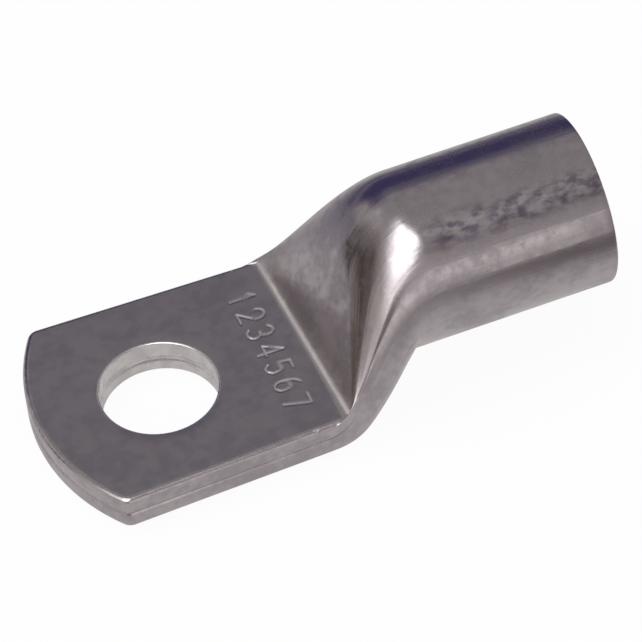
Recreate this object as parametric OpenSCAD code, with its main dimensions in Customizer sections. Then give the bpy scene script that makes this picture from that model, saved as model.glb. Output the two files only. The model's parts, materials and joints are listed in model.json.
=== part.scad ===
// Tube lug for a stranded cable: one length of copper tube, round at the barrel that takes
// the conductor and pressed flat at the palm that bolts down.
// Origin: centre of the stud hole, on the underside of the palm. +X runs to the mouth, +Z is up.

/* [Barrel] */
// Outside diameter of the tube
tube_od = 12.5; // [11.5:0.1:13.5]
// Wall of the tube round the bore
wall = 1.3; // [1:0.05:1.6]
// From the stud hole's centre to the mouth of the barrel
mouth_x = 32.4; // [28:0.2:45]
// Height of the barrel's lowest line above the underside of the palm
barrel_rise = 1.27; // [0.6:0.05:2]
// Bevel inside the mouth, which guides the strands in
bore_bevel = 0.4; // [0.2:0.05:0.8]
// Broken edge outside the mouth
mouth_bevel = 0.15; // [0.05:0.05:0.3]

/* [Palm] */
// Thickness of the palm, two pressed walls
palm_t = 2.85; // [2.4:0.05:3.4]
// Width of the palm at the fold
palm_w = 16.9; // [15.6:0.1:18.4]
// Angle at which each side of the palm spreads away from the barrel
flare = 1.7; // [0.5:0.1:3]
// Diameter of the stud hole
stud_d = 8.4; // [6.4:0.1:9.4]
// Bevel on both rims of the stud hole
stud_bevel = 0.15; // [0.05:0.05:0.3]
// From the stud hole's centre to the end of the palm
end_reach = 9; // [7.5:0.1:12]
// Radius of the arc that the end is trimmed to
end_r = 15.3; // [12:0.1:20]
// Radius of the two corners of the end
corner_r = 0.9; // [0.5:0.1:1.5]
// Rounding along the palm's long edges
edge_r = 0.45; // [0.25:0.05:0.7]
// Width of the closed seam where the two walls meet
seam_w = 0.2; // [0.1:0.02:0.3]
// Depth of the seam
seam_d = 0.15; // [0.08:0.01:0.25]

/* [Neck] */
// From the stud hole's centre to the fold across the palm
fold_x = 10.85; // [8.5:0.05:16]
// Angle by which the die that folds the palm and trims its end sits askew: 0 is square
askew = 2.3; // [0:0.1:4]
// Length of the small round in the fold
fold_round = 0.6; // [0.3:0.05:1]
// Length over which the sides round out of the palm
side_round = 3.6; // [1:0.1:4]
// Run of the ramp, from the fold to the level of the barrel's top
ramp_run = 5.6; // [4.5:0.1:8]
// Run of the neck's sides, from the fold to the barrel
side_run = 6.55; // [5.5:0.05:9]
// Share of the ramp that is rounded over at the shoulder
shoulder = 0.42; // [0.3:0.02:0.6]
// Share of the sides that is rounded over at the barrel
side_shoulder = 0.4; // [0.2:0.02:0.5]
// How full the belly is below the sides: 1 is straight
belly = 1.36; // [1.1:0.02:2]
// Share of the ramp's rise at which its two ridges meet on top
ridge_meet = 0.66; // [0.6:0.02:0.9]
// Half angle of the barrel's top that the ramp's tip runs out into
crown = 4; // [2:1:12]
// Gap left between the walls where the bore closes
slit = 0.16; // [0.1:0.02:0.4]

/* [Hidden] */
ridge_lag = 0.05;                // share of the rise before the ridges start to draw in
ridge_round = 0.15;
skin = 0.02;                     // how far the loft lies inside the exact surfaces it joins
lap = 0.4;                       // how far joined solids run into each other
far = 100;                       // longer than any lug of this kind
tube_r = tube_od / 2;
bore_r = tube_r - wall;
axis_z = barrel_rise + tube_r;
half_w = palm_w / 2;
arc_x = end_r - end_reach;       // centre of the end arc
arc_y = end_r * sin(askew);
askew_x = half_w * tan(askew);   // how far a side leads or trails the middle
palm_end = fold_x - side_round / 2 - askew_x;    // the palm is flat up to here
kink_x = fold_x + side_run;      // where the belly runs into the barrel
ramp_angle = atan((axis_z + tube_r - palm_t) / ramp_run);
bore_lag = wall * tan(ramp_angle / 2);   // keeps the ramp's wall at full thickness
barrel_x = fold_x + max(ramp_run * (1 + shoulder), side_run * (1 + side_shoulder)) + lap;
bore_x = barrel_x + bore_lag;

// ---------- small helpers ----------
function clamp01(v) = max(0, min(1, v));
function smooth(v) = v * v * (3 - 2 * v);
function span(a, b, n) = [for (i = [0:n]) a + (b - a) * i / n];

// Edge of the palm in section, from its top face round to its underside: [inset, height].
function edge_profile(t = palm_t, steps = 3) = concat(
    [for (a = span(90, 0, steps)) [edge_r * (1 - cos(a)), t - edge_r * (1 - sin(a))]],
    [[0, (t + seam_w) / 2], [seam_d, t / 2], [0, (t - seam_w) / 2]],
    [for (a = span(0, -90, steps)) [edge_r * (1 - cos(a)), edge_r * (1 + sin(a))]]);

// ---------- neck: how far each point has gone from the palm's section to the round ----------
// side_angle is the place round the barrel: 90 on top, -90 underneath.
function run_at(side_angle) =
    side_run + (ramp_run - side_run) * pow(clamp01(sin(side_angle)), 1.5);

function ease_in(s, k) = s < -k ? 0 : s < k ? (s + k) * (s + k) / (4 * k) : s;
function ease_out(s, k) = s > 1 + k ? 1 : s > 1 - k ? 1 - pow(1 + k - s, 2) / (4 * k) : s;

function travel(x, side_angle) =
    let (run = run_at(side_angle),
         sharp = smooth(clamp01((side_angle - 40) / (50 - crown))),
         round_x = side_round + (fold_round - side_round) * sharp,
         low = smooth(clamp01((20 - side_angle) / 40)),
         s = pow(ease_in((x - fold_x) / run, round_x / 2 / run), 1 + (belly - 1) * low),
         k = side_shoulder + (shoulder - side_shoulder) * clamp01((side_angle + 20) / 60),
         upper = clamp01((side_angle + 25) / 30))
    upper * ease_out(s, k) + (1 - upper) * min(s, 1);

// Sideways travel. Low on the lug it equals the rise g. On top, where the ridges of the ramp
// draw together, it starts a little later and is done sooner.
function draw_in(g, side_angle) =
    let (t = (g - ridge_lag) / (ridge_meet - ridge_lag),
         top = ease_out(ease_in(t, ridge_round), ridge_round))
    g + (top - g) * smooth(clamp01((side_angle - 30) / (60 - crown)));

// Half of a flat section as rows of [y, z, side angle], from the top's middle to the bottom's.
function flat_rows(half, edge, flat_n) =
    let (inner = half - edge[0][0], rim = 90 - crown, last = len(edge) - 1)
    concat(
        [for (i = [0:flat_n - 1]) [inner * i / flat_n, edge[0][1], 90 - crown * i / flat_n]],
        [for (i = [0:last]) [half - edge[i][0], edge[i][1], rim * (1 - 2 * i / last)]],
        [for (i = [flat_n - 1:-1:0]) [inner * i / flat_n, edge[last][1], crown * i / flat_n - 90]]);

// A point of the neck at station x: its row of the flat section on the way to a circle of
// radius r. The stations stand askew with the fold and turn square before the barrel.
function ring_point(row, side, x, lag, r) =
    let (from_fold = x - lag - fold_x,
         spread = clamp01(row[0] / (half_w - edge_r)) * tan(flare),
         flat_y = row[0] - spread * from_fold,
         turn = tan(askew) * (1 - clamp01(from_fold / ramp_run)),
         g = travel(x - lag, row[2]))
    [x - side * row[0] * turn,
     side * (flat_y + (r * cos(row[2]) - flat_y) * draw_in(g, row[2])),
     row[1] + (axis_z + r * sin(row[2]) - row[1]) * g];

// One closed ring: round the +Y side from top to bottom, and back up the other side.
function ring(rows, x, lag, r) = concat(
    [for (row = rows) ring_point(row, 1, x, lag, r)],
    [for (i = [len(rows) - 2:-1:1]) ring_point(rows[i], -1, x, lag, r)]);

// Joins equal rings that follow each other along +X into one closed solid. Each end is closed
// by triangles that meet at the middle of its ring.
function middle(ring) = [for (c = [0:2]) let (v = [for (p = ring) p[c]]) (min(v) + max(v)) / 2];

module loft(rings) {
    n = len(rings[0]);
    last = (len(rings) - 1) * n;
    ends = last + n;
    points = concat([for (ring = rings) each ring],
        [middle(rings[0]), middle(rings[len(rings) - 1])]);
    faces = [for (i = [0:n - 1]) let (j = (i + 1) % n) each concat(
        [[ends, j, i]],
        [for (k = [0:n:last - n]) each [[k + i, k + j, k + j + n], [k + i, k + j + n, k + i + n]]],
        [[ends + 1, last + i, last + j]])];
    polyhedron(points, faces);
}

// Stations along the neck: close together in the fold, then even, with one on the kink.
function stations(start, lag, finish, n) =
    let (round_start = fold_x - side_round / 2,
         fold_start = fold_x - fold_round / 2,
         fold_end = fold_x + fold_round / 2)
    concat([start],
        [for (x = span(round_start, fold_start, n)) x + lag],
        [for (i = [1:n]) fold_start + lag + fold_round * i / n],
        [for (i = [1:3 * n]) fold_end + lag + (kink_x - fold_end) * i / (3 * n)],
        [for (i = [1:2 * n]) kink_x + lag + (barrel_x - kink_x) * i / (2 * n)],
        [finish]);

// ---------- the lug's stretches ----------
module neck() {
    edge = [for (p = edge_profile(steps = 5))
        [p[0] + skin, skin + p[1] * (palm_t - 2 * skin) / palm_t]];
    rows = flat_rows(half_w, edge, 6);
    loft([for (x = stations(palm_end - askew_x - lap, 0, barrel_x + lap, 4))
        ring(rows, x, 0, tube_r - skin)]);
}

// The hollow of the neck, from a closed slit to the round bore.
module neck_hollow() {
    edge = [for (a = span(90, -90, 12)) [slit / 2 * (1 - cos(a)), (palm_t + slit * sin(a)) / 2]];
    rows = flat_rows(half_w - wall, edge, 5);
    loft([for (x = stations(palm_end + bore_lag - lap, bore_lag, bore_x + lap, 3))
        ring(rows, x, bore_lag, bore_r - skin)]);
}

// Plate of the palm's thickness whose profiled edge faces +Y, long in X, at half the width.
module side_plate() {
    translate([fold_x, half_w, 0]) rotate(-flare)
        translate([-far / 2, 0, 0]) rotate([90, 0, 90]) linear_extrude(far)
            polygon(concat([[-far / 2, palm_t]],
                [for (p = edge_profile()) [-p[0], p[1]]],
                [[-far / 2, 0]]));
}

// Round plate whose profiled rim is the arc of the palm's end.
module end_plate() {
    translate([arc_x, arc_y, 0]) rotate_extrude($fn = 180)
        polygon(concat([[0, palm_t]],
            [for (p = edge_profile()) [end_r - p[0], p[1]]],
            [[0, 0]]));
}

// Round corner between a long side and the end arc: a wedge with the sharp corner is cut off
// where the rounding begins, and the same wedge of a small round plate takes its place. Both
// corners are worked out on the +Y side; for side -1 the arc's centre is mirrored there.
side_out = [sin(flare), cos(flare)];
side_back = [-cos(flare), sin(flare)];
function arc_at(side) = [arc_x, side * arc_y];
function corner_at(side) =
    let (off = side_out * ([fold_x, half_w] - arc_at(side)) - corner_r)
    arc_at(side) + off * side_out + sqrt(pow(end_r - corner_r, 2) - pow(off, 2)) * side_back;

module corner_wedge(side) {
    reach = 4 * corner_r;
    arc_out = (corner_at(side) - arc_at(side)) / (end_r - corner_r);
    translate(concat(corner_at(side), -1)) linear_extrude(palm_t + 2)
        polygon([[0, 0], reach * side_out, reach * (side_out + arc_out), reach * arc_out]);
}

module round_corner(side) {
    intersection() {
        corner_wedge(side);
        translate(concat(corner_at(side), 0)) rotate_extrude($fn = 60)
            polygon(concat([[0, palm_t]],
                [for (p = edge_profile()) [corner_r - p[0], p[1]]],
                [[0, 0]]));
    }
}

module palm() {
    difference() {
        intersection() {
            end_plate();
            side_plate();
            mirror([0, 1, 0]) side_plate();
            translate([-far, -far / 2, -1]) cube([far + palm_end, far, palm_t + 2]);
        }
        corner_wedge(1);
        mirror([0, 1, 0]) corner_wedge(-1);
    }
    round_corner(1);
    mirror([0, 1, 0]) round_corner(-1);
}

module stud_hole() {
    cone = stud_bevel + 1;
    translate([0, 0, -1]) cylinder(h = palm_t + 2, d = stud_d, $fn = 96);
    translate([0, 0, palm_t - stud_bevel])
        cylinder(h = cone, r1 = stud_d / 2, r2 = stud_d / 2 + cone, $fn = 96);
    translate([0, 0, stud_bevel - cone])
        cylinder(h = cone, r1 = stud_d / 2 + cone, r2 = stud_d / 2, $fn = 96);
}

// Turned about the barrel's axis: the outside of the tube with its broken edge.
module barrel() {
    translate([0, 0, axis_z]) rotate([0, 90, 0]) {
        translate([0, 0, barrel_x])
            cylinder(h = mouth_x - mouth_bevel - barrel_x, r = tube_r, $fn = 128);
        translate([0, 0, mouth_x - mouth_bevel])
            cylinder(h = mouth_bevel, r1 = tube_r, r2 = tube_r - mouth_bevel, $fn = 128);
    }
}

module bore() {
    translate([0, 0, axis_z]) rotate([0, 90, 0]) {
        translate([0, 0, bore_x]) cylinder(h = mouth_x + 1 - bore_x, r = bore_r, $fn = 128);
        translate([0, 0, mouth_x - bore_bevel])
            cylinder(h = bore_bevel + 1, r1 = bore_r, r2 = bore_r + bore_bevel + 1, $fn = 128);
    }
}

module cable_lug() {
    color([0.72, 0.71, 0.70]) difference() {
        union() {
            palm();
            neck();
            barrel();
        }
        stud_hole();
        neck_hollow();
        bore();
    }
}

cable_lug();
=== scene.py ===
# %% [markdown]
# # A tube lug, dressed for the studio
#
# A cable lug of this kind starts as a short length of copper tube. One end stays round and takes the
# stripped conductor. The other end is pressed flat between dies into a palm, punched for a stud and
# trimmed to an arc, and the whole piece is then tin plated. The solid model already holds its sizes,
# its mounts and its weight. This lesson gives it the surface that the eye expects: one closed skin,
# fine enough for a mirror-like metal, and a plating that shows how it was made.

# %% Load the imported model
import json
from math import atan2, cos, pi, radians, sin, sqrt, tan

import bmesh
import bpy
import numpy as np
from mathutils import Matrix, Vector


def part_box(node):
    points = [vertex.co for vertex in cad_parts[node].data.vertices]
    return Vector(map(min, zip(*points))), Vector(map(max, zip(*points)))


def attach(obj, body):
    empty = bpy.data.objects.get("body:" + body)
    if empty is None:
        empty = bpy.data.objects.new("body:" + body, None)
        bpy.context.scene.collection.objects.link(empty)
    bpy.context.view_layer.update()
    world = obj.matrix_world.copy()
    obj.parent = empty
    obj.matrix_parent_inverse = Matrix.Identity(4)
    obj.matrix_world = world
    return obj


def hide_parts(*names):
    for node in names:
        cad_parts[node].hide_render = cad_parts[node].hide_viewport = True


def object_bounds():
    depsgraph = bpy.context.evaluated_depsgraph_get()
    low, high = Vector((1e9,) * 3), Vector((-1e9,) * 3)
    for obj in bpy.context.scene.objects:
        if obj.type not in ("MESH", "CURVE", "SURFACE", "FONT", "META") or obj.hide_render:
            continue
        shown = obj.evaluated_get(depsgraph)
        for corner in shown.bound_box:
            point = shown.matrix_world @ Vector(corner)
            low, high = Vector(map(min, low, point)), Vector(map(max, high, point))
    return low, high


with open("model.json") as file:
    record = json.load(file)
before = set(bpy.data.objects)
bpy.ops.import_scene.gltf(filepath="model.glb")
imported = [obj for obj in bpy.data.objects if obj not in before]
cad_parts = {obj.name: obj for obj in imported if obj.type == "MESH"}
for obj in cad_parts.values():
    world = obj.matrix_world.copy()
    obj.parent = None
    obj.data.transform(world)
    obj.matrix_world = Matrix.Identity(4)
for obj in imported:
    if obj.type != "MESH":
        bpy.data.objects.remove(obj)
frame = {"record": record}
cad_low, cad_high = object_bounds()
MM = 0.001
print("solid model:", [round((b - a) / MM, 2) for a, b in zip(cad_low, cad_high)], "mm")

# %% [markdown]
# ## Sizes
#
# The mounts in the record carry the sizes that other parts rely on: the stud hole, the bore and the
# outside of the tube. The box of the solid gives the two ends. Only what neither of them states, such
# as the run of the neck, is written here again. Everything is worked in millimetres and turned into
# metres when a mesh is built.

# %% Sizes of the lug, in millimetres
mounts = {m["name"]: m for m in frame["record"]["mounts"]}
low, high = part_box("cable_lug")
STUD_R = mounts["stud_hole"]["dims"]["r_mm"]
BORE_R = mounts["conductor_socket"]["dims"]["r_mm"]
TUBE_R = mounts["sleeve_seat"]["dims"]["r_mm"]
AXIS_Z = mounts["conductor_socket"]["pos_m"][2] / MM
PALM_T = mounts["palm_top"]["pos_m"][2] / MM
END_X = low[0] / MM
MOUTH_X = high[0] / MM

PALM_HALF = 8.45          # half the palm's width at the fold
FLARE = radians(1.7)      # each side spreads a little towards the end
END_R = 15.3              # arc that the end is trimmed to
ASKEW = radians(2.3)      # the fold and the trimmed end both lie this much askew
CORNER_R = 0.9            # the two small corners at the end
EDGE_R = 0.45             # rounding of the long edges
STUD_BEVEL = 0.15
PUNCH_ROLL = 0.05         # how far the punch drags the face down at the rim of the hole
PUNCH_FADE = 0.18         # and how far out that reaches
BORE_BEVEL = 0.4
MOUTH_BEVEL = 0.15
SEAM_HALF = 0.13          # half the width of the closed seam in the palm's edge
SEAM_DEPTH = 0.12

FOLD_X = 10.85            # the fold across the palm
FOLD_ROUND = 0.6          # length of the small round in the fold
RAMP_RUN = 5.6            # from the fold to the level of the barrel's top
SIDE_RUN = 6.55           # from the fold to the barrel, along the sides
SHOULDER = 0.42           # share of the ramp that is rounded over
SIDE_SHOULDER = 0.4
BELLY = 1.36              # fullness of the underside of the neck
CROWN = 4.0               # degrees of the barrel's top that the flat ramp runs out into
SIDE_ROUND = 3.6          # rounding of the sides where they leave the palm
DRAW_START = 0.05         # share of the rise at which the ramp's ridges start to draw in
DRAW_END = 0.66           # and at which they meet
DRAW_ROUND = 0.15         # rounding of the place where they meet
RAMP_DISH = 0.15          # how far the ramp is pressed hollow

WALL = TUBE_R - BORE_R
PALM_END = FOLD_X - SIDE_ROUND / 2 - tan(ASKEW) * PALM_HALF
BARREL_X = FOLD_X + SIDE_RUN * (1 + SIDE_SHOULDER) + 0.4
RAMP_SLOPE = atan2(AXIS_Z + TUBE_R - PALM_T, RAMP_RUN)
BORE_LAG = WALL * tan(RAMP_SLOPE / 2)
print(f"tube {2 * TUBE_R:.1f} mm, bore {2 * BORE_R:.1f} mm, ramp {np.degrees(RAMP_SLOPE):.0f} degrees")

# %% [markdown]
# ## The camera
#
# A camera is three directions and a place. The viewing direction comes from an azimuth and an
# elevation, the roll turns the picture about it, and the camera then stands at its distance from the
# point it looks at. A long lens from a third of a metre keeps the edges of the palm nearly parallel.

# %% Camera at the viewing angle
VIEW_AZIMUTH, VIEW_ELEVATION, VIEW_ROLL = radians(-16.89), radians(47.58), radians(-6.10)
VIEW_DISTANCE = 0.3448
VIEW_LENS, SENSOR = 277.3, 36
AIM = Vector((11.98, -1.02, 5.14)) * MM

back = Vector((sin(VIEW_AZIMUTH) * cos(VIEW_ELEVATION),
               -cos(VIEW_AZIMUTH) * cos(VIEW_ELEVATION),
               sin(VIEW_ELEVATION)))
level = Vector((cos(VIEW_AZIMUTH), sin(VIEW_AZIMUTH), 0))
upward = back.cross(level)
right = level * cos(VIEW_ROLL) + upward * sin(VIEW_ROLL)
up = back.cross(right)

camera = bpy.data.objects.new("camera", bpy.data.cameras.new("camera"))
camera.data.lens = VIEW_LENS
camera.data.sensor_width = SENSOR
camera.data.clip_start = 0.01
camera.matrix_world = (Matrix.Translation(AIM + back * VIEW_DISTANCE)
                       @ Matrix((right, up, back)).transposed().to_4x4())
bpy.context.collection.objects.link(camera)
bpy.context.scene.camera = camera
seen_width = VIEW_DISTANCE / MM * SENSOR / VIEW_LENS
print(f"camera: {VIEW_DISTANCE / MM:.0f} mm away, sees {seen_width:.0f} mm across")

# %% [markdown]
# ## From arrays to a mesh
#
# Every surface below is an array of points with two directions, rows and columns. The faces of such a
# grid are the same for all of them, so one helper numbers them, and a second one joins several grids
# into one mesh, merges the points that two grids share and turns every face outwards.

# %% Grid faces and the mesh builder
def grid_faces(rows, columns, closed=False):
    """Corner numbers of each square of a grid; a closed one joins its last column to its first."""
    r, c = np.meshgrid(np.arange(rows - 1), np.arange(columns if closed else columns - 1), indexing="ij")
    row, next_row = r * columns, (r + 1) * columns
    next_c = (c + 1) % columns
    corners = (row + c, row + next_c, next_row + next_c, next_row + c)
    return np.stack(corners, axis=-1).reshape(-1, 4)


WELD = 2e-7               # metres: points closer than this are one point
SHEET_ROWS = 4            # the touching part of the hollow is at most this many rows long

def skin(name, patches):
    """One closed mesh from a list of (points in mm, faces, finish number, flow).

    Flow says where a point lies along and across the way the metal moved, in mm, and its third
    number is painted light: up to 1 for a painted highlight, and below 0 for painted shade and a
    tarnish spot, both in brown. The finishes draw their lines by it."""
    points = np.concatenate([p.reshape(-1, 3) for p, _, _, _ in patches]) * MM
    starts = np.cumsum([0] + [p.reshape(-1, 3).shape[0] for p, _, _, _ in patches])
    faces = np.concatenate([f + s for (_, f, _, _), s in zip(patches, starts)])
    finish = np.concatenate([np.full(len(f), m) for _, f, m, _ in patches])
    mesh = bpy.data.meshes.new(name)
    mesh.from_pydata(points.tolist(), [], faces.tolist())
    mesh.polygons.foreach_set("material_index", finish.astype(np.int32))
    flow = mesh.attributes.new("flow", "FLOAT_VECTOR", "POINT")
    flow.data.foreach_set("vector", np.concatenate([w.reshape(-1, 3) for _, _, _, w in patches]).ravel())
    built = bmesh.new()
    built.from_mesh(mesh)
    bmesh.ops.remove_doubles(built, verts=built.verts, dist=WELD)
    # where the two walls of the hollow touch they weld to one loose sheet, taken off row by row
    for _ in range(SHEET_ROWS):
        sheet = {face for e in built.edges if e.is_boundary for face in e.link_faces}
        bmesh.ops.delete(built, geom=list(sheet), context="FACES")
    bmesh.ops.recalc_face_normals(built, faces=built.faces)
    open_edges = sum(1 for e in built.edges if not e.is_manifold)
    volume = built.calc_volume(signed=True)
    built.to_mesh(mesh)
    built.free()
    mesh.polygons.foreach_set("use_smooth", np.ones(len(mesh.polygons), dtype=bool))
    mesh.update()
    print(f"{name}: {len(mesh.polygons)} faces, {open_edges} open edges, {volume * 1e9:.0f} mm3")
    return mesh


print("a closed band of 3 rings with 8 points each has", len(grid_faces(3, 8, closed=True)), "faces")

# %% [markdown]
# ## The neck
#
# The neck is where the skill of the die shows. Across the fold it is a flat, closed section as wide
# as the palm, and a few millimetres on it is a round tube. Between them each point of the flat section
# travels to its own place round the tube, measured by an angle: 90 on top, 0 at the side, -90
# underneath. The top goes up a straight ramp and rounds over at a shoulder, the sides fan out from the
# two ends of the fold, and the belly stays full for a while and then closes on the tube in a crease.

# %% How far each place round the tube has travelled
def smooth(v):
    """From 0 to 1 with level ends: three times v squared, less twice v cubed."""
    return v * v * (3 - 2 * v)


def ease_in(s, k):
    """0 before -k, s after k, and a parabola between them."""
    return np.where(s < k, np.maximum(s + k, 0) ** 2 / (4 * k), s)


def ease_out(s, k):
    """s before 1 - k, 1 after 1 + k, and a parabola between them."""
    return np.where(s > 1 + k, 1, np.where(s > 1 - k, 1 - (1 + k - s) ** 2 / (4 * k), s))


def travel(x, side_angle):
    """0 while a point is still in the flat section, 1 once it is on the round tube.

    The straight run is (x - fold) / run. It starts through a small round in the fold, is raised to a
    power above 1 under the sides, and on top it eases out along a parabola at the shoulder."""
    run = SIDE_RUN + (RAMP_RUN - SIDE_RUN) * np.clip(np.sin(np.radians(side_angle)), 0, 1) ** 1.5
    below = smooth(np.clip((20 - side_angle) / 40, 0, 1))
    sharp = smooth(np.clip((side_angle - 40) / (50 - CROWN), 0, 1))
    start = (SIDE_ROUND + (FOLD_ROUND - SIDE_ROUND) * sharp) / 2 / run
    s = ease_in((x - FOLD_X) / run, start) ** (1 + (BELLY - 1) * below)
    k = SIDE_SHOULDER + (SHOULDER - SIDE_SHOULDER) * np.clip((side_angle + 20) / 60, 0, 1)
    upper = np.clip((side_angle + 25) / 30, 0, 1)
    return upper * ease_out(s, k) + (1 - upper) * np.minimum(s, 1)


def draw_in(g, side_angle):
    """Sideways travel. Low on the lug it equals the rise g; on top it starts later and ends sooner.

    The first rounding is as long as the late start, so that the travel is exactly 0 on the flat palm."""
    late = DRAW_START / (DRAW_END - DRAW_START)
    t = g / (DRAW_END - DRAW_START) - late
    top = ease_out(ease_in(t, late), DRAW_ROUND)
    return g + (top - g) * smooth(np.clip((side_angle - 30) / (60 - CROWN), 0, 1))


halfway = travel(FOLD_X + RAMP_RUN / 2, np.array([90.0, 0.0, -90.0]))
print("half way up the ramp, the top, side and belly have travelled", halfway.round(2))

# %% [markdown]
# The palm's edge in section is two rounded corners with the closed seam of the two walls between them.
# The same profile goes round the palm's outline and starts the neck, so both are cut from one function.

# %% The palm's edge in section
EDGE_STEPS = 12           # points round each long edge
SEAM_STEPS = 18           # points across the seam, closest together at its middle

def edge_profile():
    """Inset and height of the edge, from the top face to the underside.

    Quarter circles turn the corners, and the seam is a groove that follows a bell curve."""
    turn = np.linspace(pi / 2, 0, EDGE_STEPS)
    top = np.stack([EDGE_R * (1 - np.cos(turn)), PALM_T - EDGE_R * (1 - np.sin(turn))], axis=1)
    reach = PALM_T / 2 - EDGE_R
    z = np.linspace(1, -1, SEAM_STEPS) ** 3 * reach
    middle = np.stack([SEAM_DEPTH * np.exp(-(z / SEAM_HALF) ** 2), PALM_T / 2 + z], axis=1)
    bottom = top[::-1] * [1, -1] + [0, PALM_T]
    return np.concatenate([top[:-1], middle, bottom[1:]])


edge = edge_profile()
EDGE_N = len(edge)
print("edge profile:", EDGE_N, "points")

# %% [markdown]
# The flat section as one closed loop: across the top, down the near edge, back along the underside and
# up the far edge. Each point keeps its place round the tube beside its own position. The points of the
# top lie on rays from the stud hole, because the palm's face will be built on the same rays.

# %% The flat section and its places round the tube
INNER = PALM_HALF - EDGE_R
TOP_N = 141               # points across the top
RAY_LIMIT = atan2(INNER + (FOLD_X - PALM_END) * tan(FLARE), PALM_END)
across = PALM_END * np.tan(np.linspace(RAY_LIMIT, -RAY_LIMIT, TOP_N))

def flat_loop(half, profile, across_y):
    """Columns y, z, side angle and side sign of the flat section, in order round the loop."""
    inner = half - profile[0, 0]
    share = across_y / abs(across_y[0])
    top = np.stack([share * inner, np.full_like(share, profile[0, 1]),
                    90 - CROWN * abs(share), np.sign(share)], axis=1)
    n = len(profile)
    rim = (90 - CROWN) * (1 - 2 * np.arange(n) / (n - 1))
    near = np.stack([-(half - profile[:, 0]), profile[:, 1], rim, np.full(n, -1.0)], axis=1)
    under = top[::-1] * [1, 1, -1, 1]
    under[:, 1] = profile[-1, 1]
    far = near[::-1] * [-1, 1, 1, -1]
    return np.concatenate([top[:-1], near[:-1], under[:-1], far[:-1]])


def neck_rings(x, loop, radius, lag=0.0):
    """Rings of the neck at each x: flat section plus travel times the way to a circle."""
    from_fold = x[:, None] - lag - FOLD_X
    spread = np.clip(loop[:, 0] / INNER, -1, 1) * tan(FLARE)
    flat_y = loop[:, 0] - spread * from_fold
    fade = 1 - np.clip(from_fold / RAMP_RUN, 0, 1)
    g = travel(x[:, None] - lag + tan(ASKEW) * loop[:, 0] * fade, loop[:, 2])
    angle = np.radians(loop[:, 2])
    round_y = loop[:, 3] * radius * np.cos(angle)
    round_z = AXIS_Z + radius * np.sin(angle)
    y = flat_y + (round_y - flat_y) * draw_in(g, loop[:, 2])
    up = np.clip((from_fold + tan(ASKEW) * loop[:, 0]) / RAMP_RUN, 0, 1)
    hollow = RAMP_DISH * np.sin(pi * up) * smooth(np.clip((loop[:, 2] - 62) / 20, 0, 1))
    z = loop[:, 1] + (round_z - loop[:, 1]) * g - hollow
    return np.stack([np.broadcast_to(x[:, None], y.shape), y, z], axis=-1)


loop = flat_loop(PALM_HALF, edge, across)
past_fold = FOLD_X + FOLD_ROUND + 0.5
fold_x = np.linspace(PALM_END, past_fold, 40)
belly_x = np.linspace(past_fold, FOLD_X + SIDE_RUN, 40)[1:]
rest_x = np.linspace(FOLD_X + SIDE_RUN, BARREL_X, 18)[1:]
neck = neck_rings(np.concatenate([fold_x, belly_x, rest_x]), loop, TUBE_R)
STRIP_N = int(np.sum(fold_x < FOLD_X - FOLD_ROUND / 2))     # rings before the fold
print("neck:", neck.shape[0], "rings of", neck.shape[1])

# %% [markdown]
# ## The barrel, its mouth and the bore
#
# From the neck the same loop runs on as a plain tube. The mouth is a lathe profile, a list of x and
# radius: a broken outer edge, the cut face, a bevel that guides the strands in, and the bore. Behind
# the bore the hollow follows the neck down to the closed slit between the two walls.

# %% Lathe profile of the mouth
def rounded(centre_x, centre_r, radius, first, last, steps):
    """Points of a small rounded corner of the lathe profile."""
    a = np.radians(np.linspace(first, last, steps))
    return np.stack([centre_x + radius * np.cos(a), centre_r + radius * np.sin(a)], axis=1)


BREAK_R = 0.08            # broken edge between the cut face and the bevel
OUTER_ROWS, MOUTH_ROWS = 12, 7      # rows on the outside of the barrel, and round the cut face
lathe = np.concatenate([
    [[x, TUBE_R] for x in np.linspace(BARREL_X, MOUTH_X - 0.6, 8)[1:]],
    rounded(MOUTH_X - MOUTH_BEVEL, TUBE_R - MOUTH_BEVEL, MOUTH_BEVEL, 90, 0, 6),
    [[MOUTH_X, BORE_R + BORE_BEVEL + 0.25]],
    rounded(MOUTH_X - BREAK_R, BORE_R + BORE_BEVEL + BREAK_R, BREAK_R, 0, -45, 4),
    [[MOUTH_X - BORE_BEVEL, BORE_R + 0.02]],
    [[x, BORE_R] for x in np.linspace(MOUTH_X - BORE_BEVEL - 0.1, BARREL_X + BORE_LAG, 10)]])
place = np.radians(loop[:, 2])
tube = np.stack([
    np.broadcast_to(lathe[:, :1], (len(lathe), len(loop))),
    lathe[:, 1:] * loop[:, 3] * np.cos(place),
    AXIS_Z + lathe[:, 1:] * np.sin(place)], axis=-1)
print("barrel and bore:", len(lathe), "rings")

# %% The hollow of the neck, down to the closed slit
slit = np.stack([np.zeros(EDGE_N), np.full(EDGE_N, PALM_T / 2)], axis=1)
hollow_loop = flat_loop(PALM_HALF - WALL, slit, across)
hollow_x = np.linspace(BARREL_X + BORE_LAG, PALM_END + BORE_LAG, 34)[1:]
hollow = neck_rings(hollow_x, hollow_loop, BORE_R, BORE_LAG)
tube_skin = np.concatenate([neck, tube, hollow])
print("tube skin:", tube_skin.shape[0], "rings")

# %% [markdown]
# ## The palm
#
# The palm's outline is two straight sides, two small corners and the end arc. The face is the area
# between the stud hole and that outline. Both are seen from the hole's centre, so the face is a fan of
# rays: one direction of the grid goes round, and the other goes out from the rim of the hole.

# %% Outline of the palm, a little inside its edge
SIDE_OUT = np.array([sin(FLARE), cos(FLARE)])
SIDE_BACK = np.array([-cos(FLARE), sin(FLARE)])

SIDE_STEPS, CORNER_STEPS, END_STEPS = 36, 14, 44

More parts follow.
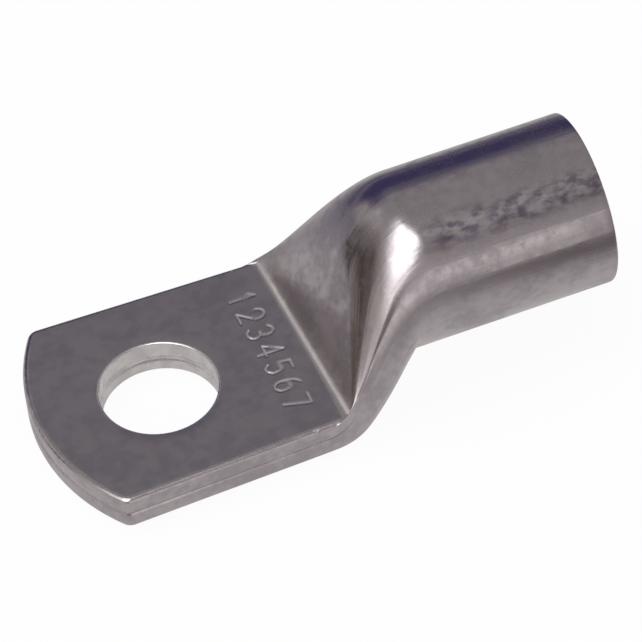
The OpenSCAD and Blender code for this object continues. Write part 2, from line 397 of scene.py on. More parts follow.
def half_outline(side):
    """Half of the inset outline with its outward normals, from the fold to the end's middle.

    It is worked out on the +Y side and mirrored for side -1. The small corner's centre lies a corner
    radius inside both the side line and the end arc."""
    arc_centre = np.array([END_X + END_R, side * END_R * sin(ASKEW)])
    offset = SIDE_OUT @ (np.array([FOLD_X, PALM_HALF]) - arc_centre) - CORNER_R
    centre = (arc_centre + offset * SIDE_OUT
              + sqrt((END_R - CORNER_R) ** 2 - offset ** 2) * SIDE_BACK)
    arc_out = (centre - arc_centre) / (END_R - CORNER_R)
    arc_angle = atan2(arc_out[1], arc_out[0])
    start = np.array([PALM_END, INNER + (FOLD_X - PALM_END) * tan(FLARE)])
    t = np.linspace(0, 1, SIDE_STEPS)[:, None]
    straight = start + (centre + SIDE_OUT * (CORNER_R - EDGE_R) - start) * t
    straight_out = np.tile(SIDE_OUT, (SIDE_STEPS, 1))
    straight_out[0] = [0, 1]
    turn = np.linspace(atan2(SIDE_OUT[1], SIDE_OUT[0]), arc_angle, CORNER_STEPS)[1:]
    corner_out = np.stack([np.cos(turn), np.sin(turn)], axis=1)
    sweep = np.linspace(arc_angle, pi - side * ASKEW, END_STEPS)[1:]
    end_out = np.stack([np.cos(sweep), np.sin(sweep)], axis=1)
    points = np.concatenate([straight, centre + corner_out * (CORNER_R - EDGE_R),
                             arc_centre + end_out * (END_R - EDGE_R)])
    out = np.concatenate([straight_out, corner_out, end_out])
    return points * [1, side], out * [1, side]


far_points, far_out = half_outline(1)
near_points, near_out = half_outline(-1)
outline = np.concatenate([far_points, near_points[-2::-1]])
normals = np.concatenate([far_out, near_out[-2::-1]])
print("outline:", len(outline), "points")

# %% The profiled edge carried round the outline
inset, height = edge[:, 0], edge[:, 1]
rim = np.stack([
    outline[:, None, 0] + normals[:, None, 0] * (EDGE_R - inset),
    outline[:, None, 1] + normals[:, None, 1] * (EDGE_R - inset),
    np.broadcast_to(height, (len(outline), EDGE_N))], axis=-1)
print("rim:", rim.shape[:2])

# %% [markdown]
# ## Stamped figures
#
# Such a palm is stamped with a row of small characters between the hole and the fold. Here it is
# a row of plain figures. Each figure is a few strokes, and the stroke's depth is a function of the
# distance to it: a shallow round groove with a slight raised lip, as a steel stamp leaves. Because
# the face is a dense grid there, the figures are real dents and catch the light.

# %% Strokes of the figures 1 to 7
def bow(cx, cy, rx, ry, first, last, steps=7):
    """An elliptical arc as a chain of points."""
    a = np.radians(np.linspace(first, last, steps))
    return np.stack([cx + rx * np.cos(a), cy + ry * np.sin(a)], axis=1)


FIGURES = {
    "1": [np.array([[0.2, 0.75], [0.5, 1.0], [0.5, 0.0]])],
    "2": [np.concatenate([bow(0.5, 0.7, 0.45, 0.3, 170, -35), [[0.05, 0.0], [0.95, 0.0]]])],
    "3": [bow(0.45, 0.74, 0.42, 0.26, 150, -90), bow(0.45, 0.25, 0.47, 0.25, 90, -150)],
    "4": [np.array([[0.75, 0.0], [0.75, 1.0], [0.05, 0.3], [0.98, 0.3]])],
    "5": [np.concatenate([[[0.9, 1.0], [0.2, 1.0], [0.12, 0.55]],
                          bow(0.48, 0.31, 0.44, 0.31, 110, -150)])],
    "6": [np.concatenate([bow(0.7, 0.35, 0.62, 0.65, 100, 180)[:-1],
                          bow(0.5, 0.3, 0.42, 0.3, 180, -180, 13)])],
    "7": [np.array([[0.05, 1.0], [0.92, 1.0], [0.4, 0.0]])],
}
print("figures:", " ".join(FIGURES))

# %% Depth of the stamping
STAMP_ROW = "1234567"
FIGURE_H, FIGURE_W, FIGURE_PITCH = 1.9, 1.05, 1.78
STAMP_X = 7.35            # foot of the row, from the hole's centre
STROKE_HALF = 0.17
STAMP_DEPTH = 0.07
LIP_HEIGHT, LIP_HALF = 0.012, 0.07
STAMP_STOP = FOLD_X - 1.1           # the stamping ends before this

def stamp_depth(x, y):
    """Depth of the stamping: a rounded groove within half a stroke of any line, and a lip beside it."""
    nearest = np.full(x.shape, np.inf)
    for place_no, figure in enumerate(STAMP_ROW):
        foot_y = ((len(STAMP_ROW) - 1) / 2 - place_no) * FIGURE_PITCH + FIGURE_W / 2
        for stroke in FIGURES[figure]:
            for a, b in zip(stroke[:-1], stroke[1:]):
                ax, ay = STAMP_X + a[1] * FIGURE_H, foot_y - a[0] * FIGURE_W
                bx, by = STAMP_X + b[1] * FIGURE_H, foot_y - b[0] * FIGURE_W
                along = ((x - ax) * (bx - ax) + (y - ay) * (by - ay)) / ((bx - ax) ** 2 + (by - ay) ** 2)
                along = np.clip(along, 0, 1)
                away = np.hypot(x - ax - along * (bx - ax), y - ay - along * (by - ay))
                nearest = np.minimum(nearest, away)
    groove = smooth(np.clip(1 - nearest / STROKE_HALF, 0, 1))
    lip = np.exp(-((nearest - STROKE_HALF) / LIP_HALF) ** 2)
    return STAMP_DEPTH * groove - LIP_HEIGHT * lip


print(f"stamped row: {len(STAMP_ROW) * FIGURE_PITCH:.1f} mm wide, {STAMP_DEPTH} mm deep")

# %% [markdown]
# The two faces reach from the rim of the hole to the border. The top one has far more rows, so that the
# stamped strokes have points inside them. Round the hole the punch has dragged both faces in a little.

# %% The two faces as fans of rays
front = np.stack([np.full(TOP_N, PALM_END), across[::-1]], axis=1)
border = np.concatenate([front[:-1], outline[:-1]])
ray_angle = np.arctan2(border[:, 1], border[:, 0])
ray = np.stack([np.cos(ray_angle), np.sin(ray_angle)], axis=1)

def fan(share, z, stamped=False):
    """Grid between the bevelled rim of the hole and the border: share 0 at the rim, 1 outside."""
    rim_points = ray * (STUD_R + STUD_BEVEL)
    xy = rim_points[None] + (border - rim_points)[None] * share[:, None, None]
    from_rim = np.hypot(xy[..., 0], xy[..., 1]) - STUD_R - STUD_BEVEL
    roll = PUNCH_ROLL * np.exp(-from_rim / PUNCH_FADE)
    heights = z + np.sign(PALM_T / 2 - z) * roll
    if stamped:
        heights -= stamp_depth(xy[..., 0], xy[..., 1])
    return np.concatenate([xy, heights[..., None]], axis=-1)


top_share = np.concatenate([np.linspace(0, 0.38, 5)[:-1], np.linspace(0.38, 0.9, 62), [0.95, 1.0]])
top_face = fan(top_share, PALM_T, stamped=True)
under_face = fan(np.linspace(0, 1, 5), 0.0)
print("top face:", top_face.shape[:2], " under face:", under_face.shape[:2])

# %% [markdown]
# The stud hole is punched, so its wall is bright. A little below its middle it shows the seam between
# the two pressed walls, as a shallow groove that follows a bell curve.

# %% Wall of the stud hole
HOLE_SEAM_DEPTH, HOLE_SEAM_Z, HOLE_SEAM_HALF = 0.15, -0.26, 0.22
turn = np.radians(np.linspace(0, 90, 6))
drop = STUD_BEVEL - PUNCH_ROLL
lip = np.stack([STUD_R + STUD_BEVEL * (1 - np.sin(turn)),
                PALM_T - PUNCH_ROLL - drop * (1 - np.cos(turn))], axis=1)
wall_z = np.linspace(1, -1, 25) * (PALM_T / 2 - STUD_BEVEL)
seam = HOLE_SEAM_DEPTH * np.exp(-((wall_z - HOLE_SEAM_Z) / HOLE_SEAM_HALF) ** 2)
wall = np.stack([STUD_R + seam, PALM_T / 2 + wall_z], axis=1)
bore_line = np.concatenate([lip[:-1], wall, (lip[::-1] * [1, -1] + [0, PALM_T])[1:]])
stud_wall = np.stack([
    bore_line[:, None, 0] * ray[None, :, 0],
    bore_line[:, None, 0] * ray[None, :, 1],
    np.broadcast_to(bore_line[:, None, 1], (len(bore_line), len(ray)))], axis=-1)
print("stud wall:", stud_wall.shape[:2])

# %% [markdown]
# ## One skin
#
# The neck still starts with a strip of flat palm. The stamped row reaches onto it, and the strip has
# the palm's pressed finish up to the fold. The outside, the mouth and the hollow are runs of rings of
# the same skin, each with a finish of its own.

# %% Stamp the strip and give the outside its finishes
PRESSED, DRAWN, CUT, INSIDE = range(4)
strip = tube_skin[:STRIP_N, :TOP_N]
before_stop = strip[..., 0] < STAMP_STOP
strip[..., 2] -= stamp_depth(strip[..., 0], strip[..., 1]) * before_stop
mouth_row = len(neck) + OUTER_ROWS - 1
inner_row = mouth_row + MOUTH_ROWS
outer = tube_skin[:mouth_row + 1]
mouth = tube_skin[mouth_row:inner_row + 1]
inner = tube_skin[inner_row:]
outer_finish = np.full((mouth_row, len(loop)), DRAWN)
for flat in (slice(0, TOP_N - 1), slice(TOP_N + EDGE_N - 2, 2 * TOP_N + EDGE_N - 3)):
    outer_finish[:STRIP_N, flat] = PRESSED
print("rings: outside", len(outer), " mouth", len(mouth), " hollow", len(inner))

# %% [markdown]
# Metal remembers the way it was worked. Each point carries a flow: where it lies along and across the
# tube, and a third number that paints light. Along the fold, in the stamped strokes and on the shoulder
# of the palm's edge it is a painted highlight. Below zero it paints a dull brown: painted shade just past
# the fold and along the ramp's near ridge, and a tarnish spot at the top of the ramp.

# %% Flow and painted light of every point
def bell(v, half):
    """1 at 0, falling on both sides as e to the power of minus (v / half) squared."""
    return np.exp(-(v / half) ** 2)


def stamped(points):
    """1 at the bottom of a stamped stroke, 0 beside it."""
    return np.clip(1.3 * stamp_depth(points[..., 0], points[..., 1]) / STAMP_DEPTH, 0, 1)


def plane_flow(points, painted_light_and_tarnish=0.0):
    """Flow of a flat patch: along X, and across it round the edge."""
    across_edge = points[..., 1] + 3 * points[..., 2]
    return np.stack(np.broadcast_arrays(points[..., 0], across_edge, painted_light_and_tarnish), axis=-1)


skin_x, skin_y = tube_skin[..., 0], tube_skin[..., 1]
to_fold = skin_x - FOLD_X + tan(ASKEW) * skin_y
on_top = (loop[:, 2] > 80) * 1.0
ramp_top = np.hypot(skin_x - 15.7, skin_y - 0.6)
along_ridge = np.clip(skin_x - FOLD_X - 0.5, 0, 1) * np.clip(16.2 - skin_x, 0, 1)
# Painted shade: a dark band down the ramp's near ridge, where the ramp mirrors something dark.
painted_ridge_shade = bell(np.arange(len(loop)) - TOP_N - 1, 2.2) * along_ridge
# Painted shade: a dark band across the ramp just past the fold, where the ramp mirrors the palm.
painted_fold_shade = bell(to_fold - 0.65, 0.36)
# A painted highlight along the fold itself. The brown spot at the top of the ramp is tarnish.
painted_light_and_tarnish = on_top * (bell(to_fold + 0.02, 0.22) - 0.3 * painted_fold_shade - 0.4 * bell(ramp_top, 0.6))
painted_light_and_tarnish -= 0.75 * painted_ridge_shade
# Painted highlight in the stamped strokes of the strip.
painted_light_and_tarnish[:STRIP_N, :TOP_N] += stamped(strip) * before_stop
around = loop[:, 3] * radians(1) * (90 - loop[:, 2]) * TUBE_R
tube_flow = np.stack(np.broadcast_arrays(skin_x, around, painted_light_and_tarnish), axis=-1)
# Painted highlight along the shoulder of the palm's edge.
painted_edge_highlight = 0.15 * bell(np.arange(EDGE_N) - EDGE_STEPS / 2, 2.5)
print("burnish from", painted_light_and_tarnish.min().round(2), "to", painted_light_and_tarnish.max().round(2))

# %% Put the lug together
def ring_faces(grid):
    """Faces of a grid whose rows are closed rings."""
    return grid_faces(*grid.shape[:2], closed=True)


patches = [
    (outer, ring_faces(outer), outer_finish.ravel(), tube_flow[:mouth_row + 1]),
    (mouth, ring_faces(mouth), CUT, tube_flow[mouth_row:inner_row + 1]),
    (inner, ring_faces(inner), INSIDE, tube_flow[inner_row:]),
    # The rim carries the edge's painted highlight, and the top face carries the painted highlight of its
    # stamped strokes.
    (rim, grid_faces(*rim.shape[:2]), DRAWN, plane_flow(rim, painted_edge_highlight)),
    (top_face, ring_faces(top_face), PRESSED, plane_flow(top_face, stamped(top_face))),
    (under_face, ring_faces(under_face), PRESSED, plane_flow(under_face)),
    (stud_wall, ring_faces(stud_wall), CUT, plane_flow(stud_wall)),
]
lug = bpy.data.objects.new("tinned_lug", skin("tinned_lug", patches))
bpy.context.collection.objects.link(lug)
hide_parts("cable_lug")
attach(lug, "root")

# %% [markdown]
# ## Tin plate
#
# Tin over drawn copper is a soft grey metal: bright where a die has rolled it, cloudy where it was only
# dipped and handled. Three things make it read as plated metal and not as chrome: the roughness wanders
# in patches, the surface has a very fine grain, and faint lines follow the way the metal moved. One
# group makes all three and each finish of the lug uses it with its own amounts.

# %% Helpers that place and join nodes
def node(tree, kind, place_xy, **values):
    """Adds a node and sets its properties."""
    n = tree.nodes.new(kind)
    n.location = place_xy
    for key, value in values.items():
        setattr(n, key, value)
    return n


def feed(tree, socket, source):
    """Links a socket to an input, or sets the input to a value."""
    if isinstance(source, bpy.types.NodeSocket):
        tree.links.new(source, socket)
    else:
        socket.default_value = source


def chain(tree, kind, place_xy, *sources, **values):
    """A maths node fed with sockets or numbers in order; returns its result socket."""
    n = node(tree, kind, place_xy, **values)
    for slot, source in enumerate(sources):
        feed(tree, n.inputs[slot], source)
    return n.outputs[0]


def times(tree, place_xy, a, b):
    return chain(tree, "ShaderNodeMath", place_xy, a, b, operation="MULTIPLY")


def plus(tree, place_xy, a, b):
    return chain(tree, "ShaderNodeMath", place_xy, a, b, operation="ADD")


def absolute(tree, place_xy, a):
    return chain(tree, "ShaderNodeMath", place_xy, a, operation="ABSOLUTE")


def stretched(tree, place_xy, flow, shares):
    """Flow with its two directions drawn out: a small share makes long marks that way."""
    return chain(tree, "ShaderNodeVectorMath", place_xy, flow, (*shares, 0.0), operation="MULTIPLY")


def noise(tree, place_xy, where, scale, detail, roughness=0.5):
    """Noise over a vector; the scale is a number or a socket."""
    n = node(tree, "ShaderNodeTexNoise", place_xy)
    for key, source in (("Vector", where), ("Scale", scale), ("Detail", detail), ("Roughness", roughness)):
        feed(tree, n.inputs[key], source)
    return n.outputs["Fac"]


def ramp(tree, place_xy, value, first, last, low=0.0, high=1.0):
    """Smooth step of a value from low to high between first and last."""
    n = node(tree, "ShaderNodeMapRange", place_xy, interpolation_type="SMOOTHSTEP")
    for key, source in (("Value", value), ("From Min", first), ("From Max", last),
                        ("To Min", low), ("To Max", high)):
        feed(tree, n.inputs[key], source)
    return n.outputs["Result"]


def blend(tree, place_xy, factor, first, second):
    """Mix of two colours, each a socket or three numbers."""
    n = node(tree, "ShaderNodeMix", place_xy, data_type="RGBA")
    feed(tree, n.inputs["Factor"], factor)
    for key, colour in (("A", first), ("B", second)):
        feed(tree, n.inputs[key], (*colour, 1) if isinstance(colour, tuple) else colour)
    return n.outputs["Result"]


def mixed(tree, place_xy, factor, first, second):
    """Mix of two shaders by a factor socket."""
    n = node(tree, "ShaderNodeMixShader", place_xy)
    for slot, source in enumerate((factor, first, second)):
        tree.links.new(source, n.inputs[slot])
    return n.outputs["Shader"]


print("node helpers ready")

# %% [markdown]
# The group reads two things. Object coordinates carry what has no direction: clouds and grain. The
# flow carries what has one: the drawn lines, the folds that the flanks of the neck gather where the
# tube is squeezed, a broken darker band along the barrel's near shoulder, and the painted highlight and
# painted shade set by its third number.

# %% Parts of the plating
# Colour of the painted highlight.
PAINTED_HIGHLIGHT = (0.80, 0.77, 0.76)
# Colour of the painted shade, a dull brown, which is also the colour of the tarnish spot.
SHADE_AND_TARNISH = (0.25, 0.205, 0.165)
# Colour of a broken darker band along the barrel's near shoulder.
DARK_BAND_COLOUR = (0.25, 0.21, 0.27)
DARK_BAND_LINE = -3.75        # mm round the barrel from its top

def clouds(tree, where, inputs):
    """Slow patches with small freckles on them; gives the colour and the roughness."""
    slow = noise(tree, (-900, 100), where, inputs["Cloud Size"], 5)
    fast = noise(tree, (-900, -50), where, 1500, 3)
    both = plus(tree, (-650, 50), times(tree, (-700, 120), slow, 0.62),
                times(tree, (-700, -50), fast, 0.38))
    cloud = ramp(tree, (-450, 50), both, 0.38, 0.63)
    return (blend(tree, (-200, 100), cloud, inputs["Bright"], inputs["Dull"]),
            ramp(tree, (-200, -100), cloud, 0.0, 1.0, inputs["Smoothest"], inputs["Roughest"]))


def dark_band_mask(tree, flow, along, across, inputs):
    """A broken band along the barrel: how much of each point takes the band's darker colour."""
    away = absolute(tree, (-900, -900), plus(tree, (-1000, -1000), across, -DARK_BAND_LINE))
    band = times(tree, (-700, -900), ramp(tree, (-800, -900), away, 1.7, 0.4),
                 ramp(tree, (-800, -1100), along, 18.5, 21.0))
    drawn_out = stretched(tree, (-900, -1200), flow, (0.8, 1.5))
    marks = ramp(tree, (-500, -1200), noise(tree, (-700, -1200), drawn_out, 1.2, 3, 0.55), 0.38, 0.66)
    return times(tree, (-300, -1000), times(tree, (-400, -1000), band, marks), inputs["Scuffs"])


def relief_height(tree, where, flow, along, across, inputs):
    """Folds on the flanks of the neck, fine drawn lines and grain, added up."""
    flank = ramp(tree, (-700, -500), absolute(tree, (-800, -500), across), 2.2, 4.5)
    on_neck = ramp(tree, (-600, -550), along, 19.0, 14.0, 0.2, 5.0)
    folds = noise(tree, (-700, -400), stretched(tree, (-900, -400), flow, (0.07, 1.0)), 0.8, 2)
    folds = times(tree, (-400, -400), folds, times(tree, (-500, -500), flank, on_neck))
    lines = noise(tree, (-600, -650), stretched(tree, (-900, -600), flow, (0.1, 3.2)), 1.2, 3)
    drawn = times(tree, (-200, -500), plus(tree, (-300, -450), folds, lines), inputs["Lines"])
    grain = times(tree, (-200, -700), noise(tree, (-600, -750), where, 5000, 2), inputs["Grain"])
    return plus(tree, (100, -600), drawn, grain)


print(f"scuffs lie {-DARK_BAND_LINE} mm round the barrel from its top")

# %% Shader group: wandering plating
GROUP_INPUTS = {"Bright": (0.5, 0.5, 0.5, 1), "Dull": (0.4, 0.4, 0.4, 1), "Smoothest": 0.15,
                "Roughest": 0.35, "Cloud Size": 400.0, "Lines": 0.3, "Grain": 0.3, "Scuffs": 0.0}

def plating_group():
    """Color, Roughness and Height of tin plate, from the place on the lug and its flow."""
    tree = bpy.data.node_groups.new("plating", "ShaderNodeTree")
    for name, default in GROUP_INPUTS.items():
        kind = "NodeSocketColor" if isinstance(default, tuple) else "NodeSocketFloat"
        tree.interface.new_socket(name, in_out="INPUT", socket_type=kind).default_value = default
    for name, kind in (("Color", "NodeSocketColor"), ("Roughness", "NodeSocketFloat"),
                       ("Height", "NodeSocketFloat")):
        tree.interface.new_socket(name, in_out="OUTPUT", socket_type=kind)
    inputs = node(tree, "NodeGroupInput", (-1300, 0)).outputs
    outputs = node(tree, "NodeGroupOutput", (900, 0)).inputs
    where = node(tree, "ShaderNodeTexCoord", (-1300, -400)).outputs["Object"]
    flow = node(tree, "ShaderNodeAttribute", (-1300, -700), attribute_name="flow").outputs["Vector"]
    parts = node(tree, "ShaderNodeSeparateXYZ", (-1100, -900))
    feed(tree, parts.inputs[0], flow)
    along, across, painted_light_and_tarnish = parts.outputs

    color, rough = clouds(tree, where, inputs)
    # A broken darker violet band along the barrel's near shoulder.
    color = blend(tree, (0, 100), dark_band_mask(tree, flow, along, across, inputs), color, DARK_BAND_COLOUR)
    # Painted highlight where the flow's third number is above zero.
    color = blend(tree, (200, 100), painted_light_and_tarnish, color, PAINTED_HIGHLIGHT)
    # Painted shade, and the tarnish spot, where the flow's third number is below zero.
    color = blend(tree, (400, 100), times(tree, (300, 0), painted_light_and_tarnish, -1.0), color, SHADE_AND_TARNISH)
    feed(tree, outputs["Color"], color)
    feed(tree, outputs["Roughness"], rough)
    feed(tree, outputs["Height"], relief_height(tree, where, flow, along, across, inputs))
    return tree


PLATING = plating_group()
print("plating group:", len(PLATING.nodes), "nodes")

# %% [markdown]
# Each region of the lug gets its own amounts. The pressed face is the darkest and has no drawn lines,
# the tube is brighter and lined, and the cut and punched metal is brightest of all. The group's height
# drives a very low relief.

# %% The four finishes of the lug
RELIEF = 0.00002          # metres of height at full strength

def tin_finish(name, bright, dull, smoothest, roughest, cloud_size, lines, grain, band_amount=0.0):
    """A tinned finish of one region: the plating group into a metallic Principled BSDF."""
    material = bpy.data.materials.new(name)
    material.use_nodes = True
    tree = material.node_tree
    shader = tree.nodes["Principled BSDF"]
    shader.inputs["Metallic"].default_value = 1.0
    group = node(tree, "ShaderNodeGroup", (-500, 0), node_tree=PLATING)
    amounts = ((*bright, 1), (*dull, 1), smoothest, roughest, cloud_size, lines, grain, band_amount)
    for key, value in zip(GROUP_INPUTS, amounts):
        group.inputs[key].default_value = value
    relief = node(tree, "ShaderNodeBump", (-250, -300))
    relief.inputs["Strength"].default_value = 1.0
    relief.inputs["Distance"].default_value = RELIEF
    for source, socket in ((group.outputs["Color"], shader.inputs["Base Color"]),
                           (group.outputs["Roughness"], shader.inputs["Roughness"]),
                           (group.outputs["Height"], relief.inputs["Height"]),
                           (relief.outputs["Normal"], shader.inputs["Normal"])):
        tree.links.new(source, socket)
    return material


finishes = [
    tin_finish("pressed_face", (0.435, 0.405, 0.435), (0.365, 0.342, 0.372), 0.28, 0.36, 600, 0.0, 0.12),
    tin_finish("drawn_tube", (0.57, 0.53, 0.54), (0.46, 0.425, 0.445), 0.15, 0.28, 300, 0.45, 0.16, 1.0),
    tin_finish("cut_metal", (0.80, 0.78, 0.77), (0.70, 0.68, 0.67), 0.2, 0.34, 700, 0.1, 0.12),
    tin_finish("inside_of_tube", (0.60, 0.58, 0.58), (0.48, 0.46, 0.47), 0.3, 0.5, 500, 0.2, 0.3),
]
for finish in finishes:
    lug.data.materials.append(finish)
print("finishes:", [m.name for m in lug.data.materials])

# %% [markdown]
# ## The studio
#
# Polished metal has no colour of its own to speak of: it shows the room. So a small metal part is shot
# in a tent with cards pinned inside. This tent is half a ball round the lug, seen only by reflections.
# Its glow is painted point by point: an even grey, a dark card behind, pale cards at the left and low in
# front with narrow dark ones between them, and two bright ones high up at the left. The brighter of
# those two is meant for the highlight on the neck.

# %% The light tent
def look(azimuth, elevation):
    """Unit vector of a direction: azimuth from +X towards +Y, elevation above the floor."""
    a, e = np.radians(azimuth), np.radians(elevation)
    return np.stack([np.cos(a) * np.cos(e), np.sin(a) * np.cos(e), np.sin(e)], axis=-1)


def card_mask(direction, azimuth, elevation, half_width, half_height, soft):
    """1 inside a soft-edged rectangle of the tent, 0 outside: sizes are angles seen from the lug."""
    centre = look(azimuth, elevation)
    side = look(azimuth + 90, 0)
    rise = np.cross(centre, side)
    forward = direction @ centre
    u = np.degrees(np.arctan2(direction @ side, forward))
    v = np.degrees(np.arctan2(direction @ rise, forward))
    inside_u = smooth(np.clip((half_width + soft - abs(u)) / (2 * soft), 0, 1))
    inside_v = smooth(np.clip((half_height + soft - abs(v)) / (2 * soft), 0, 1))
    return inside_u * inside_v * (forward > 0)


def only_mirrored(thing):
    """Leaves an object to be seen in reflections alone."""
    for ray_kind in ("camera", "diffuse", "transmission", "shadow", "volume_scatter"):
        setattr(thing, "visible_" + ray_kind, False)


print("straight up is", look(0, 90).round(2))

# %% Glow of the tent
TENT_R = 0.9              # metres
TENT_GREY = 0.34
rises = np.concatenate([np.arange(0, 90, 1.5), [90]])
tent_az, tent_el = np.meshgrid(np.arange(0, 361, 2.0), rises, indexing="ij")
direction = look(tent_az, tent_el)
glow = np.full(direction.shape, TENT_GREY) * [1.0, 0.96, 0.97]
CARDS = [
    # azimuth, elevation, half width, half height, soft edge, colour
    (85, 10, 52, 26, 12, (0.064, 0.054, 0.135)),
    (172, 12, 9, 26, 6, (0.44, 0.41, 0.40)),
    (140, 12, 10, 26, 6, (0.58, 0.54, 0.53)),
    (126, 4, 6, 11, 5, (0.46, 0.43, 0.42)),
    (158, 9, 6, 15, 4, (0.22, 0.18, 0.17)),
    (152, 2, 6, 10, 4, (0.09, 0.07, 0.065)),
    (-160, 16, 26, 16, 8, (0.52, 0.48, 0.47)),
    (-117, 13, 12, 9, 5, (0.20, 0.18, 0.18)),
    (-84, 12, 16, 11, 6, (0.92, 0.86, 0.86)),
    (-66, 0, 8, 12, 6, (0.30, 0.27, 0.28)),
    (-90, 38, 14, 8, 6, (0.50, 0.46, 0.47)),
    (-70, 46, 12, 6, 5, (0.28, 0.25, 0.26)),
    (-156, 42, 20, 15, 8, (1.7, 1.67, 1.64)),
    (-134, 57, 22, 21, 7, (3.2, 3.15, 3.1)),
]
for azimuth, elevation, half_width, half_height, soft, colour in CARDS:
    mask = card_mask(direction, azimuth, elevation, half_width, half_height, soft)[..., None]
    glow = glow * (1 - mask) + np.array(colour) * mask
print("tent glows from", glow.min().round(2), "to", glow.max().round(2))

# %% The tent itself
tent_mesh = bpy.data.meshes.new("light_tent")
tent_points = direction.reshape(-1, 3) * TENT_R
tent_mesh.from_pydata(tent_points.tolist(), [], grid_faces(*direction.shape[:2]).tolist())
paint = tent_mesh.color_attributes.new("glow", "FLOAT_COLOR", "POINT")
opaque = np.ones((*glow.shape[:2], 1))
paint.data.foreach_set("color", np.concatenate([glow, opaque], axis=-1).ravel())
tent = bpy.data.objects.new("light_tent", tent_mesh)
bpy.context.collection.objects.link(tent)
only_mirrored(tent)

tent_paint = bpy.data.materials.new("tent_glow")
tent_paint.use_nodes = True
tree = tent_paint.node_tree
tree.nodes.clear()
source = node(tree, "ShaderNodeAttribute", (-400, 0), attribute_name="glow")
emitter = node(tree, "ShaderNodeEmission", (-150, 0))
output = node(tree, "ShaderNodeOutputMaterial", (100, 0))
tree.links.new(source.outputs["Color"], emitter.inputs["Color"])
tree.links.new(emitter.outputs["Emission"], output.inputs["Surface"])
tent_paint.cycles.emission_sampling = "NONE"
tent_mesh.materials.append(tent_paint)
print("tent:", len(tent_mesh.polygons), "faces")

# %% [markdown]
# The floor is a pale matt sheet that keeps the lug's shadow. The camera sees it almost white. Metal
# mirrors it as a duller paper, which keeps the sides of the tube, the underside of the neck and the
# wall of the hole from turning pale. The palm faces up and does not mirror it.

# %% Floor
PAPER_WHITE = 0.95        # share of plain white in what the camera sees
MIRRORED_PAPER = 0.58     # strength of the paper in reflections
FLOOR_HALF = 3            # metres
floor_mesh = bpy.data.meshes.new("floor")
corners = [(-FLOOR_HALF, -FLOOR_HALF, 0), (FLOOR_HALF, -FLOOR_HALF, 0),
           (FLOOR_HALF, FLOOR_HALF, 0), (-FLOOR_HALF, FLOOR_HALF, 0)]
floor_mesh.from_pydata(corners, [], [(0, 1, 2, 3)])
floor = bpy.data.objects.new("floor", floor_mesh)
bpy.context.collection.objects.link(floor)
floor.location.z = cad_low[2]
sheet = bpy.data.materials.new("floor_sheet")
sheet.use_nodes = True
tree = sheet.node_tree
paper = tree.nodes["Principled BSDF"]
paper.inputs["Base Color"].default_value = (0.86, 0.86, 0.86, 1)
paper.inputs["Roughness"].default_value = 0.9
paper.inputs["Specular IOR Level"].default_value = 0.0
white = node(tree, "ShaderNodeEmission", (0, -400))
ray_kinds = node(tree, "ShaderNodeLightPath", (-400, -400)).outputs
dim = node(tree, "ShaderNodeEmission", (250, -300))
dim.inputs["Color"].default_value = (1.0, 0.96, 0.96, 1)
dim.inputs["Strength"].default_value = MIRRORED_PAPER
seen_share = times(tree, (0, -250), ray_kinds["Is Camera Ray"], PAPER_WHITE)
seen_paper = mixed(tree, (250, 0), seen_share, paper.outputs["BSDF"], white.outputs["Emission"])
any_paper = mixed(tree, (450, 0), ray_kinds["Is Glossy Ray"], seen_paper, dim.outputs["Emission"])
feed(tree, tree.nodes["Material Output"].inputs["Surface"], any_paper)
floor_mesh.materials.append(sheet)
print("floor:", 2 * FLOOR_HALF, "m wide, at", round(floor.location.z / MM, 3), "mm")

# %% [markdown]
# Three dark cards lie on the floor, and only reflections show them. One is meant for the far side of
# the barrel, one for the near side, and the narrow one for the ridge of the neck.

# %% Dark cards on the floor, seen only in reflections
NECK_MIDDLE = 13          # mm along X
CARD_N = 25

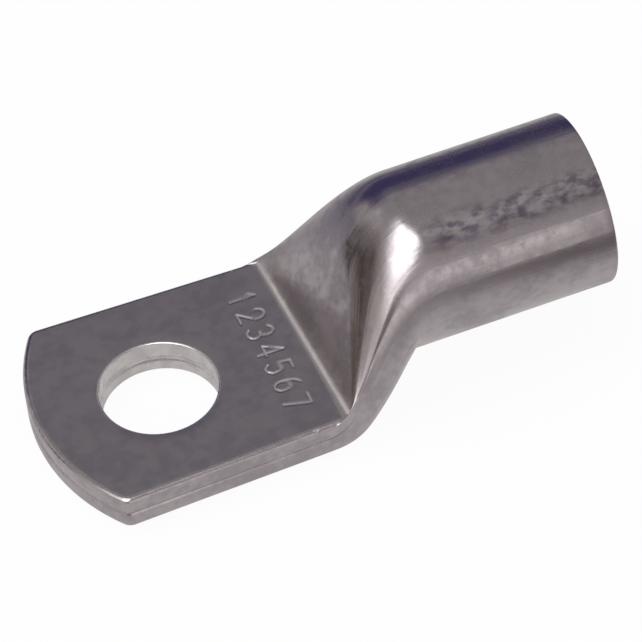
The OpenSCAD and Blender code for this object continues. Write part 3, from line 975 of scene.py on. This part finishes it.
def floor_card(name, first, second, colour, soft=0.25, polar=False):
    """A card on the floor that only mirrors see; its edges fade out over a share of its size.

    It reaches from first[0] to first[1] in X and from second[0] to second[1] in Y. A polar card does so
    in azimuth and in distance, seen from the middle of the neck. All lengths are in mm."""
    u, v = np.meshgrid(np.linspace(0, 1, CARD_N), np.linspace(0, 1, CARD_N), indexing="ij")
    a, b = first[0] + (first[1] - first[0]) * u, second[0] + (second[1] - second[0]) * v
    if polar:
        a, b = NECK_MIDDLE + b * np.cos(np.radians(a)), b * np.sin(np.radians(a))
    points = np.stack([a, b, np.full_like(u, 0.1 if polar else 0.05)], axis=-1)
    fade = (smooth(np.clip(np.minimum(u, 1 - u) / soft, 0, 1))
            * smooth(np.clip(np.minimum(v, 1 - v) / soft, 0, 1)))
    mesh = bpy.data.meshes.new(name)
    mesh.from_pydata((points.reshape(-1, 3) * MM).tolist(), [], grid_faces(CARD_N, CARD_N).tolist())
    cover = mesh.attributes.new("cover", "FLOAT", "POINT")
    cover.data.foreach_set("value", fade.ravel())
    material = bpy.data.materials.new(name)
    material.use_nodes = True
    tree = material.node_tree
    tree.nodes.clear()
    amount = node(tree, "ShaderNodeAttribute", (-400, 0), attribute_name="cover")
    clear = node(tree, "ShaderNodeBsdfTransparent", (-200, 100))
    tone = node(tree, "ShaderNodeEmission", (-200, -100))
    tone.inputs["Color"].default_value = (*colour, 1)
    output = node(tree, "ShaderNodeOutputMaterial", (200, 0))
    surface = mixed(tree, (0, 0), amount.outputs["Fac"], clear.outputs["BSDF"], tone.outputs["Emission"])
    feed(tree, output.inputs["Surface"], surface)
    material.cycles.emission_sampling = "NONE"
    mesh.materials.append(material)
    lying = bpy.data.objects.new(name, mesh)
    bpy.context.collection.objects.link(lying)
    only_mirrored(lying)
    return lying


floor_cards = [
    floor_card("card_behind", (-300, 340), (3, 400), (0.085, 0.075, 0.15)),
    floor_card("card_in_front", (8, 140), (-84, -7), (0.17, 0.145, 0.15)),
    floor_card("strip_behind", (143, 162), (30, 420), (0.07, 0.055, 0.05), soft=0.12, polar=True),
]

print("on the floor:", [lying.name for lying in floor_cards])

# %% [markdown]
# An even sky lights the lug from all round. The camera sees a light grey in its place, which shows
# only past the edge of the floor, when the camera stands low. A large soft lamp overhead adds a light
# shadow. The lamp is kept out of the reflections, because the tent already has its own.

# %% Sky and lamp
world = bpy.data.worlds.new("sky")
bpy.context.scene.world = world
world.use_nodes = True
tree = world.node_tree
sky = tree.nodes["Background"]
sky.inputs["Color"].default_value = (0.9, 0.9, 0.9, 1)
sky.inputs["Strength"].default_value = 0.75
backdrop = node(tree, "ShaderNodeBackground", (0, -200))
backdrop.inputs["Strength"].default_value = 1.0
to_camera = node(tree, "ShaderNodeLightPath", (-200, 200)).outputs["Is Camera Ray"]
surface = mixed(tree, (250, 0), to_camera, sky.outputs["Background"], backdrop.outputs["Background"])
feed(tree, tree.nodes["World Output"].inputs["Surface"], surface)

lamp_data = bpy.data.lights.new("overhead", "AREA")
lamp_data.shape = "DISK"
lamp_data.size = 0.5
lamp_data.energy = 2.2
lamp = bpy.data.objects.new("overhead", lamp_data)
lamp.location = (-0.15, 0.25, 0.7)
lamp.rotation_euler = (-lamp.location).to_track_quat("-Z", "Y").to_euler()
lamp.visible_glossy = False
bpy.context.collection.objects.link(lamp)
bpy.context.scene.view_settings.view_transform = "Standard"
print(f"lamp: {lamp_data.energy:.1f} W over {lamp_data.size:.1f} m")
